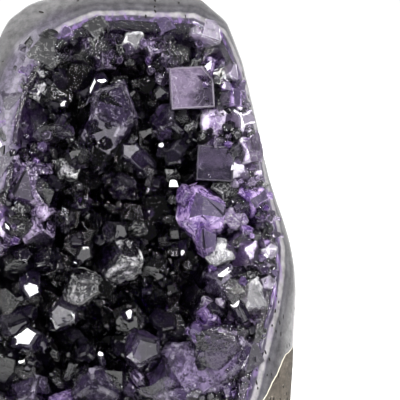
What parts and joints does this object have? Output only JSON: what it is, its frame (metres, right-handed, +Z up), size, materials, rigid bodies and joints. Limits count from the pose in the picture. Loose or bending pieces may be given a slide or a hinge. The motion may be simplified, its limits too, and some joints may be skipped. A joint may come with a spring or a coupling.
{
  "type": "cut base amethyst cluster",
  "caption": "Geode wall piece standing on a sawn foot: purple amethyst crystals line a shallow bowl in brown host rock with a polished grey agate edge.",
  "frame": {"origin": "bottom centre of the bounding box, on the saw cut that the piece stands on", "axes": "+Z up from the saw cut, -Y out of the bowl of crystals, +X to the right of someone looking into the bowl"},
  "size_m": [0.122, 0.0658, 0.1494],
  "materials": {
    "stone_wall": "rough brown host rock, and grey agate ground and polished round the bowl",
    "amethyst_crust": "clear to milky crystal, purple, with glassy and frosted faces"
  },
  "bodies": {
    "root": {"stone_wall": "stone_wall", "amethyst_crust": "amethyst_crust"}
  },
  "joints": []
}
